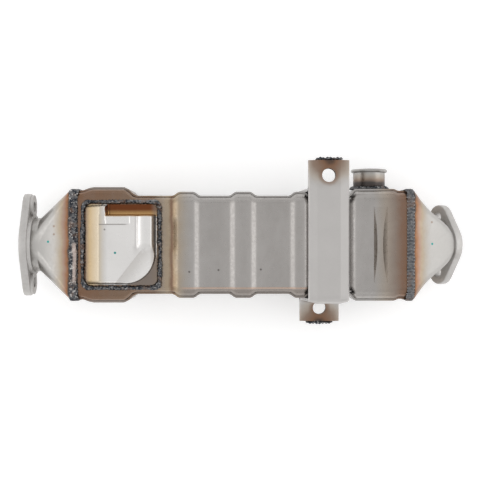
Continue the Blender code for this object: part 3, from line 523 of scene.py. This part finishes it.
hoodLook = {
    "low": (0.68, 0.665, 0.65),
    "high": (0.78, 0.765, 0.75),
    "roughness": 0.34,
    "goldReach": 0.021,
    "goldSway": 0.002,
    "goldEdge": (0.484, 0.347, 0.174),
    "goldEnd": (0.533, 0.434, 0.285),
    "ledgeSway": 0.001,
    "ledgeStart": (0.0184, 0.0192),
    "ledgeReach": (0.0102, 0.0112),  # from the back edge
    "ledgeBlend": (0.0040, 0.0085),
    "ledgeBack": (0.15, 0.05, 0.02),
    "ledgeFront": (0.46, 0.28, 0.12),
    "arcTurn": 3600.0,  # radians of the weld's arcs in a metre
    "arcRange": (0.0, 0.8, 0.0, 0.7),
    "arcEnd": (0.0225, 0.0215),
    "arcColour": (0.07, 0.035, 0.02),
    "rimEdge": (-0.0012, 0.0008),  # the painted shade along the foot beside the big corner
    "rimFade": 0.003,
    "cornerShadeColour": (0.13, 0.09, 0.065),
    "cornerShadeStrength": 0.85,
    "farEdge": (0.0062, 0.0012),
    "farEdgeShadeColour": (0.24, 0.19, 0.15),
    "farEdgeShadeStrength": 0.55,
    "facetEdge": (-0.0003, 0.0006),
    "facetFade": (0.0150, 0.0),
    "facetEnd": (0.0330, 0.0270),
    "facetShadeColour": (0.42, 0.395, 0.37),
    "facetShadeStrength": 0.5,
    "stripLine": (0.0007, 0.0003),
    "stripFades": (0.0008, 0.006),
    "stripShadowColour": (0.24, 0.22, 0.21),
    "stripShadowStrength": 0.7,
    "valleyReach": 0.0042,
    "valleyStart": (0.022, 0.034),
    "valleyShadeColour": (0.44, 0.42, 0.41),
    "valleyShadeStrength": 0.35,
    "dot": (-0.1096, -0.0088),
    "speck": (-0.1186, 0.0112),
    "speckRadius": 0.0007,
    "speckStrength": 0.6,
    "bump": (0.07, 0.0003, 300.0),
}


def hoodFinish():
    look, shape = hoodLook, hoodShape
    finish = Finish("hoodSteel", look["low"], look["high"], look["roughness"])
    fromLeft = finish.minus(finish.axes["X"], hoodLow[0])
    fromFront = finish.minus(finish.axes["Y"], hoodLow[1])
    fromBack = finish.minus(hoodHigh[1], finish.wobbled(finish.axes["Y"], look["ledgeSway"]))
    finish.ramp(finish.wobbled(fromLeft, look["goldSway"]), 0.0, look["goldReach"], [
        (0.0, heat["brown"], 0.9),
        (0.22, look["goldEdge"], 0.9),
        (0.66, look["goldEnd"], 0.7),
        (1.0, heat["silver"], 0.0),
    ])

    # The tinted ledge along the back, with the weld's arcs at its near end
    ledgeInner, ledgeOuter = look["ledgeReach"]
    ledge = finish.times(
        finish.span(fromLeft, *look["ledgeStart"]), finish.span(fromBack, ledgeOuter, ledgeInner))
    gold = finish.mix(finish.span(fromBack, *look["ledgeBlend"]), look["ledgeBack"], look["ledgeFront"])
    arcs = finish.math("SINE", finish.times(fromLeft, look["arcTurn"]), 0.0)
    arcs = finish.times(finish.span(arcs, *look["arcRange"]), finish.span(fromLeft, *look["arcEnd"]))
    gold = finish.mix(arcs, gold, look["arcColour"])
    finish.colour = finish.mix(ledge, finish.colour, gold)

    # Painted shade on the foot outside the big corner and along the far edge
    radius = shape["corner"]
    cornerX = hoodHigh[0] - shape["margin"] - radius
    cornerY = hoodLow[1] + shape["margin"] + radius
    fromCorner = finish.distance((cornerX, cornerY, 0.0), True)
    start, full = look["rimEdge"]
    rim = finish.times(
        finish.span(fromCorner, radius + start, radius + full),
        finish.span(finish.axes["X"], cornerX, cornerX + look["rimFade"]),
        finish.span(finish.axes["Y"], cornerY, cornerY - look["rimFade"]))
    finish.tint(rim, look["cornerShadeColour"], look["cornerShadeStrength"])
    start, full = look["farEdge"]
    farEdge = finish.span(finish.axes["X"], hoodHigh[0] - start, hoodHigh[0] - full)
    finish.tint(farEdge, look["farEdgeShadeColour"], look["farEdgeShadeStrength"])

    # Painted shade: a darker band beside the facet's edge, a painted shadow under the strip's near edge
    # and a darker valley
    startX, startY = shape["facetStart"]
    lean = shape["facetLean"]
    fromLine = finish.minus(
        finish.times(finish.minus(fromLeft, startX), math.sin(lean)),
        finish.times(finish.minus(fromFront, startY), math.cos(lean)))
    facetShade = finish.times(
        finish.span(fromLine, *look["facetEdge"]),
        finish.span(fromLine, *look["facetFade"]),
        finish.span(fromFront, *look["facetEnd"]))
    finish.tint(facetShade, look["facetShadeColour"], look["facetShadeStrength"])
    stripSide = hoodHigh[1] - shape["ledge"] - shape["stripWidth"]
    fadeIn, fadeOut = look["stripFades"]
    # painted shadow along the strip's near edge
    stripShadow = finish.times(
        finish.span(finish.apart(finish.axes["Y"], stripSide), *look["stripLine"]),
        finish.span(fromLeft, shape["ramp"], shape["ramp"] + fadeIn),
        finish.span(fromLeft, shape["stripEnd"], shape["stripEnd"] - fadeOut))
    finish.tint(stripShadow, look["stripShadowColour"], look["stripShadowStrength"])
    # painted shade down the valley beside the ridge
    valley = finish.times(
        finish.span(finish.apart(fromLeft, shape["valley"]), look["valleyReach"], 0.0),
        finish.span(fromFront, *look["valleyStart"]),
        finish.span(fromBack, ledgeInner, ledgeOuter))
    finish.tint(valley, look["valleyShadeColour"], look["valleyShadeStrength"])
    finish.spot(*look["dot"], finishLook["dot"], heat["teal"])
    finish.spot(*look["speck"], look["speckRadius"], heat["dark"], look["speckStrength"])
    finish.bump(*look["bump"])
    return finish.close()


strapLook = {
    "low": (0.46, 0.444, 0.432),
    "high": (0.53, 0.512, 0.498),
    "roughness": 0.36,
    "metallic": 0.8,
    "heatReach": (0.004, 0.028),  # from the middle of a tab's weld
    "holes": ((0.0743, 0.0583, 0.0765), (0.0694, -0.0593, 0.0323)),
    "heatSway": 0.006,
    "holeRing": (0.0062, 0.0105),
    "holeSway": 0.002,
    "holeStrength": 0.6,
    "bump": (0.08, 0.0003, 300.0),
}


def strapFinish(name):
    look = strapLook
    finish = Finish(name, look["low"], look["high"], look["roughness"], look["metallic"])
    for weld in ("upper_tab_weld", "lower_tab_weld"):
        centre = tuple(middle(weld, axis) for axis in range(3))
        fromWeld = finish.wobbled(finish.distance(centre), look["heatSway"])
        finish.ramp(fromWeld, *look["heatReach"], [
            (0.0, heat["dark"], 1.0),
            (0.16, heat["redBrown"], 1.0),
            (0.42, heat["brown"], 0.85),
            (0.68, heat["tan"], 0.55),
            (1.0, heat["silver"], 0.0),
        ])
    start, end = look["holeRing"]
    for place in look["holes"]:
        ring = finish.span(finish.wobbled(finish.distance(place), look["holeSway"]), end, start)
        finish.tint(ring, heat["redBrown"], look["holeStrength"])
    finish.bump(*look["bump"])
    return finish.close()


castLook = {
    "low": (0.47, 0.455, 0.44),
    "high": (0.58, 0.565, 0.55),
    "roughness": 0.5,
    "stain": (0.26, 0.229, 0.205),
    "stainStrength": 0.35,
    "stainNoise": (60.0, 4.0, 0.6),
    "stainRange": (0.5, 0.75),
    "bump": (0.5, 0.0005, 700.0),
}


def castFinish():
    finish = Finish("castFlange", castLook["low"], castLook["high"], castLook["roughness"])
    stains = finish.span(finish.noise(*castLook["stainNoise"]), *castLook["stainRange"])
    finish.tint(stains, castLook["stain"], castLook["stainStrength"])
    finish.bump(*castLook["bump"])
    return finish.close()


pipeLook = {
    "low": (0.341, 0.329, 0.316),
    "high": (0.434, 0.422, 0.403),
    "roughness": 0.35,
    "heatStart": 0.0045,  # just above the tank wall
    "heatEnd": 0.0180,
    "heatSway": 0.002,
    "bump": (0.08, 0.0002, 500.0),
}


def pipeFinish():
    look = pipeLook
    finish = Finish("pipeSteel", look["low"], look["high"], look["roughness"])
    fromFoot = finish.minus(finish.wobbled(finish.axes["Y"], look["heatSway"]), pipeLow[1])
    finish.ramp(fromFoot, look["heatStart"], look["heatEnd"], [
        (0.0, heat["dark"], 1.0),
        (0.32, heat["dark"], 0.9),
        (0.5, heat["brown"], 0.75),
        (0.8, heat["straw"], 0.35),
        (1.0, heat["silver"], 0.0),
    ])
    finish.bump(*look["bump"])
    return finish.close()


innerLook = {
    "low": (0.223, 0.217, 0.211),
    "high": (0.31, 0.301, 0.291),
    "roughness": 0.42,
    "bump": (0.1, 0.0003, 400.0),
}


def innerFinish():
    finish = Finish("innerSteel", innerLook["low"], innerLook["high"], innerLook["roughness"])
    finish.bump(*innerLook["bump"])
    return finish.close()


ripple = 0.0030  # length of one ripple, in the beads' shape and in their colour

beadLook = {
    "low": (0.034, 0.037, 0.043),
    "high": (0.248, 0.245, 0.248),
    "roughness": 0.36,
    "lumpColour": (0.030, 0.034, 0.042),
    "lumpNoise": (330.0, 3.0, 0.6),
    "lumpRange": (0.42, 0.58),
    "lumpFloor": 0.55,  # least strength of the lumps in the even weld
    "glintColour": (0.62, 0.60, 0.58),
    "glintNoise": (560.0, 2.0, 0.5),
    "glintRange": (0.57, 0.64),
    "brownNoise": (110.0, 3.0, 0.6),
    "brownRange": (0.52, 0.68),
    "brownStrength": 0.45,
    "lean": 0.5,  # how far a ripple's colour leans along the bead's sides
    "crestRange": (0.1, 0.9),
    "crestHighlightColour": (0.26, 0.254, 0.254),
    "crestHighlightStrength": 0.4,
    "edge": (0.0027, 0.0032),  # where the painted highlight dashes along the sides begin
    "edgeHighlightColour": (0.484, 0.459, 0.446),
    "edgeHighlightStrength": 0.7,
    "passSway": (0.0035, 160.0),
    "passMiddle": 0.0010,
    "passWidth": (0.0024, 0.0006),
    "passStart": (-0.0400, -0.030),
    "passEnd": (0.0010, -0.0020),
    "passColour": (0.57, 0.471, 0.422),
    "passStrength": 0.75,
    "bumpHeight": 0.0010,
    "bumpScale": 560.0,
    "bumpStrength": (1.0, 0.5),  # of a rough weld and of the even one
}


def beadFinish(name, glintStrength=0.75, withPass=False, chevrons=False):
    look = beadLook
    finish = Finish(name, look["low"], look["high"], look["roughness"])
    least = look["lumpFloor"] if chevrons else 0.0
    lumps = finish.span(finish.noise(*look["lumpNoise"]), *look["lumpRange"], least)
    finish.colour = finish.mix(lumps, look["lumpColour"], finish.colour)
    # painted highlights: small light glints scattered over the bead
    glints = finish.span(finish.noise(*look["glintNoise"]), *look["glintRange"])
    finish.tint(glints, look["glintColour"], glintStrength)
    brown = finish.span(finish.noise(*look["brownNoise"]), *look["brownRange"])
    finish.tint(brown, heat["redBrown"], look["brownStrength"])
    if chevrons:  # even ripples with painted highlights on their crests and painted highlight dashes along both sides
        offCentre = finish.apart(finish.axes["X"], outletJoint)
        around = finish.math("ADD", finish.axes["Y"], finish.axes["Z"])
        run = finish.math("ADD", around, finish.times(offCentre, look["lean"]))
        wave = finish.math("SINE", finish.times(run, 2 * math.pi / ripple), 0.0)
        crestHighlight = finish.span(wave, *look["crestRange"])
        finish.tint(crestHighlight, look["crestHighlightColour"], look["crestHighlightStrength"])
        side = finish.span(offCentre, *look["edge"])
        finish.tint(finish.times(side, crestHighlight), look["edgeHighlightColour"], look["edgeHighlightStrength"])
    if withPass:  # the smooth, pinkish second pass at the middle of the inlet weld
        swaying = finish.wobbled(finish.axes["X"], *look["passSway"])
        onPass = finish.times(
            finish.span(finish.apart(swaying, inletJoint + look["passMiddle"]), *look["passWidth"]),
            finish.span(finish.axes["Y"], *look["passStart"]),
            finish.span(finish.axes["Y"], *look["passEnd"]),
            finish.above())
        finish.tint(onPass, look["passColour"], look["passStrength"])
    rough, even = look["bumpStrength"]
    finish.bump(even if chevrons else rough, look["bumpHeight"], look["bumpScale"])
    return finish.close()


jacketSteel = jacketFinish("jacketSteel")
inletConeSteel = coneFinish("inletConeSteel", inletJoint, -1, inletConeLook)
outletConeSteel = coneFinish("outletConeSteel", outletJoint, 1, outletConeLook)
hoodSteel = hoodFinish()
strapSteel = strapFinish("strapSteel")
flangeSteel = castFinish()
pipeSteel = pipeFinish()
innerSteel = innerFinish()
beadSteel = beadFinish("weldSteel", glintStrength=0.35)
passSteel = beadFinish("inletWeldSteel", withPass=True)
chevronSteel = beadFinish("outletWeldSteel", glintStrength=0.15, chevrons=True)
print("finishes built")


meshing = {
    "weld": 0.000002,  # vertices nearer than this are one
    "level": math.radians(0.4),  # faces that bend less than this are one
    "softening": 0.5,
}


def eased(share):
    held = min(max(share, 0.0), 1.0)
    return held * held * (3.0 - 2.0 * held)


def copyNode(name):
    mesh = bmesh.new()
    mesh.from_mesh(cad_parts[name].data)
    bmesh.ops.remove_doubles(mesh, verts=mesh.verts, dist=meshing["weld"])
    return mesh


def addPiece(name, mesh, material, *nodes):
    data = bpy.data.meshes.new(name)
    mesh.to_mesh(data)
    mesh.free()
    data.materials.clear()
    data.materials.append(material)
    piece = bpy.data.objects.new(name, data)
    bpy.context.scene.collection.objects.link(piece)
    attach(piece, "root")
    if nodes:
        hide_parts(*nodes)
    return piece


def smoothPiece(name, node, material, slotName, angle, reshape=None):
    mesh = copyNode(node)
    if reshape:
        reshape(mesh)
    bmesh.ops.dissolve_limit(
        mesh, angle_limit=meshing["level"], verts=mesh.verts, edges=mesh.edges
    )
    for face in mesh.faces:
        face.smooth = True
    for line in mesh.edges:
        line.smooth = line.is_manifold and line.calc_face_angle(0.0) < math.radians(angle)
    piece = addPiece(name, mesh, material, node)


tipShape = {
    "widen": 0.20,
    "reach": 0.0062,
    "flat": (0.148, 0.0738, 0.74),  # a place on the upper flat, and the flat's fall
    "depth": 0.0075,  # how far below the flat the change dies out
    "start": (0.157, 0.179),  # x where the change begins and is full
    "tilt": math.radians(33.0),
    "throat": (0.1265, 0.1345),  # distances along the neck where the change ends
}


def broadenTip(mesh):
    # The upper flat runs on as a blunt triangle that covers the neck
    centre = middle("outlet_cone", 1)
    s = tipShape
    for point in mesh.verts:
        along = point.co.x * math.cos(s["tilt"]) - point.co.z * math.sin(s["tilt"])
        below = s["flat"][1] - s["flat"][2] * (point.co.x - s["flat"][0]) - point.co.z
        share = 1.0 - eased(below / s["depth"])
        share *= eased((point.co.x - s["start"][0]) / (s["start"][1] - s["start"][0]))
        share *= 1.0 - eased((along - s["throat"][0]) / (s["throat"][1] - s["throat"][0]))
        point.co.x += s["reach"] * share
        point.co.y = centre + (point.co.y - centre) * (1.0 + s["widen"] * share)


grooveShape = {
    "region": (0.110, 0.134, 0.036, 0.060),  # from x, to x, half width in y, least height
    "solid": 0.1224,  # the groove's middle in the solid
    "middle": 0.1181,
    "squeeze": 0.87,
}


def placeGroove(mesh):
    # The pressed groove stands nearer the strap and is a little slimmer
    s = grooveShape
    start, end, half, level = s["region"]
    centre = middle("upper_shell", 1)
    for point in mesh.verts:
        if start < point.co.x < end and abs(point.co.y - centre) < half and point.co.z > level:
            point.co.x = s["middle"] + (point.co.x - s["solid"]) * s["squeeze"]


pieces = [
    ("upperJacket", "upper_shell", jacketSteel, "jacket_sheet", 32.0, placeGroove),
    ("lowerJacket", "lower_shell", jacketSteel, "jacket_sheet", 32.0),
    ("inletCone", "inlet_cone", inletConeSteel, "tinted_sheet", 38.0),
    ("outletCone", "outlet_cone", outletConeSteel, "tinted_sheet", 38.0, broadenTip),
    ("inletFlange", "inlet_flange", flangeSteel, "cast_flange", 35.0),
    ("outletFlange", "outlet_flange", flangeSteel, "cast_flange", 35.0),
    ("upperStrap", "bracket_upper_strap", strapSteel, "bright_sheet", 10.0),
    ("lowerStrap", "bracket_lower_strap", strapSteel, "bright_sheet", 10.0),
    ("coolantPipe", "coolant_inlet_pipe", pipeSteel, "bright_sheet", 40.0),
    ("coolantPort", "coolant_outlet_port", flangeSteel, "cast_flange", 40.0),
]
for entry in pieces:
    smoothPiece(*entry)
print("sheets smoothed")


def evenSkin(node, voxel):
    # A copy of a solid with an even skin, fine enough to be rippled or softened
    mesh = copyNode(node)
    source = bpy.data.meshes.new("evenSource")
    mesh.to_mesh(source)
    mesh.free()
    holder = bpy.data.objects.new("evenSource", source)
    bpy.context.scene.collection.objects.link(holder)
    remesh = holder.modifiers.new("evenSkin", "REMESH")
    remesh.mode = "VOXEL"
    remesh.voxel_size = voxel * 1
    bpy.context.view_layer.update()
    depsgraph = bpy.context.evaluated_depsgraph_get()
    even = bpy.data.meshes.new_from_object(holder.evaluated_get(depsgraph))
    skin = bmesh.new()
    skin.from_mesh(even)
    bpy.data.objects.remove(holder)
    bpy.data.meshes.remove(source)
    bpy.data.meshes.remove(even)
    return skin


def soften(mesh, rounds):
    for turn in range(rounds):
        bmesh.ops.smooth_vert(
            mesh, verts=mesh.verts, factor=meshing["softening"],
            use_axis_x=True, use_axis_y=True, use_axis_z=True
        )


def holdInside(mesh, node):
    # A finish never stands outside its own solid's box
    low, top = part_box(node)
    for point in mesh.verts:
        for axis in range(3):
            point.co[axis] = min(max(point.co[axis], low[axis]), top[axis])
    for face in mesh.faces:
        face.smooth = True


def rolled(distance, roll):
    held = min(max(distance / roll, 0.0), 1.0)
    return math.sqrt(1.0 - (1.0 - held) ** 2)


def hoodHeight(x, y, length, span):
    # Height of the pressing above its foot; x and y run from its low corner
    s = hoodShape
    right = length - s["margin"]
    front = s["margin"]
    onLedge = eased((x - s["ledgeStart"]) / s["ledgeBend"])
    back = span - s["margin"] * (1.0 - onLedge) - s["ledge"] * onLedge
    inside = min(right - x, y - front)
    cornerX, cornerY = right - s["corner"], front + s["corner"]
    if x > cornerX and y < cornerY:
        inside = min(inside, s["corner"] - math.hypot(x - cornerX, y - cornerY))
    backFall = rolled(back - y, s["backRoll"])
    height = s["rise"] * rolled(inside, s["roll"]) * backFall
    height *= min(max(x / s["ramp"], 0.0), 1.0)
    half = s["ridgeWidth"] / 2
    across = (x - right + half) / half
    alongRidge = eased((y - s["ridgeEnd"]) / half)
    if abs(across) < 1.0 and inside > 0.0 and y < back:
        height += s["ridgeRise"] * alongRidge * (1.0 - across ** 2) * backFall
    beside = (x - s["valley"]) / s["valleyWidth"]
    height -= s["valleyDepth"] * math.exp(-beside ** 2) * alongRidge * (y < back)
    bend = s["stripBend"]
    onStrip = eased((x - s["ramp"]) / bend) * eased((s["stripEnd"] - x) / bend)
    onStrip *= eased((y - back + s["stripWidth"]) / bend) * (y < back)
    height += s["stripRise"] * onStrip * backFall
    startX, startY = s["facetStart"]
    beyond = (x - startX) * math.sin(s["facetLean"]) - (y - startY) * math.cos(s["facetLean"])
    beyond -= s["apexTurn"] * max(0.0, y - s["apex"])
    if beyond > 0.0:
        height = min(height, s["rise"] - s["facetSlope"] * beyond)
    return max(height, 0.0)


def pressHood():
    s = hoodShape
    length, span = hoodHigh[0] - hoodLow[0], hoodHigh[1] - hoodLow[1]
    mesh = bmesh.new()
    bmesh.ops.create_grid(mesh, x_segments=s["columns"], y_segments=s["rows"], size=0.5)
    straight = span / 2 - s["baseCorner"]
    for point in mesh.verts:
        x, y = (point.co.x + 0.5) * length, (point.co.y + 0.5) * span
        past = max(0.0, abs(y - span / 2) - straight)
        inset = s["baseCorner"] - math.sqrt(max(s["baseCorner"] ** 2 - past ** 2, 0.0))
        placed = inset + x * (length - 2 * inset) / length
        level = s["wall"] + hoodHeight(x, y, length, span)
        point.co = (hoodLow[0] + placed, hoodLow[1] + y, hoodLow[2] + level)
    soften(mesh, 1)
    holdInside(mesh, "coolant_hood")
    piece = addPiece("coolantHood", mesh, hoodSteel, "coolant_hood")
    wall = piece.modifiers.new("sheet", "SOLIDIFY")
    wall.thickness = s["wall"]
    wall.offset = -1.0


pressHood()
print("hood pressed")

beadShape = {
    "voxel": 0.0006,
    "rippleHeight": 0.00034,
    "chevron": 0.5,  # how far each ripple leans across the bead
    "lump": 0.00075,
    "lumpScale": 150.0,
    "grain": 0.00032,
    "grainScale": 620.0,
    "hoodSide": 0.004,  # the hood's bead runs along Y this near to its ends
    "pipeRadius": 0.0158,
}


def beadPiece(name, node, along, across, steel, wander=1.0):
    s = beadShape
    bead = evenSkin(node, s["voxel"])
    soften(bead, 1)
    bead.normal_update()
    moves = []
    for point in bead.verts:
        run = along(point.co) + s["chevron"] * abs(across(point.co))
        wave = math.sin(2 * math.pi * run / ripple)
        lump = noise.noise(point.co * s["lumpScale"]) * wander
        grain = noise.noise(point.co * s["grainScale"])
        push = wave * s["rippleHeight"] + lump * s["lump"] + grain * s["grain"]
        moves.append(point.normal * push)
    for point, move in zip(bead.verts, moves):
        point.co += move
    holdInside(bead, node)
    piece = addPiece(name, bead, steel, node)


def ringRun(place):
    # Round a tank mouth: along Y on the wide faces, along Z on the narrow ones
    return place.y + place.z


def hoodRun(place):
    nearSide = min(place.x - hoodLow[0], hoodHigh[0] - place.x) < beadShape["hoodSide"]
    return place.y if nearSide else place.x


def tabRun(place):
    return place.x


def pipeRun(place):
    centreX, centreZ = middle("coolant_inlet_pipe", 0), middle("coolant_inlet_pipe", 2)
    return math.atan2(place.z - centreZ, place.x - centreX) * beadShape["pipeRadius"]


def acrossInlet(place):
    return place.x - inletJoint


def acrossOutlet(place):
    return place.x - outletJoint


def acrossNothing(place):
    return 0.0


beadPiece("inletBead", "inlet_cone_weld", ringRun, acrossInlet, passSteel, wander=1.2)
beadPiece("outletBead", "outlet_cone_weld", ringRun, acrossOutlet, chevronSteel, wander=0.4)
beadPiece("hoodBead", "hood_weld", hoodRun, acrossNothing, beadSteel, wander=1.6)
beadPiece("upperTabBead", "upper_tab_weld", tabRun, acrossNothing, beadSteel)
beadPiece("lowerTabBead", "lower_tab_weld", tabRun, acrossNothing, beadSteel)
beadPiece("pipeBead", "coolant_pipe_weld", pipeRun, acrossNothing, beadSteel)
print("weld beads laid")

for name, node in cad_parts.items():
    if name.startswith(("gas_tube", "tube_fin")) or name.endswith("header_plate"):
        for place in node.material_slots:
            place.material = innerSteel
print("inside finished")
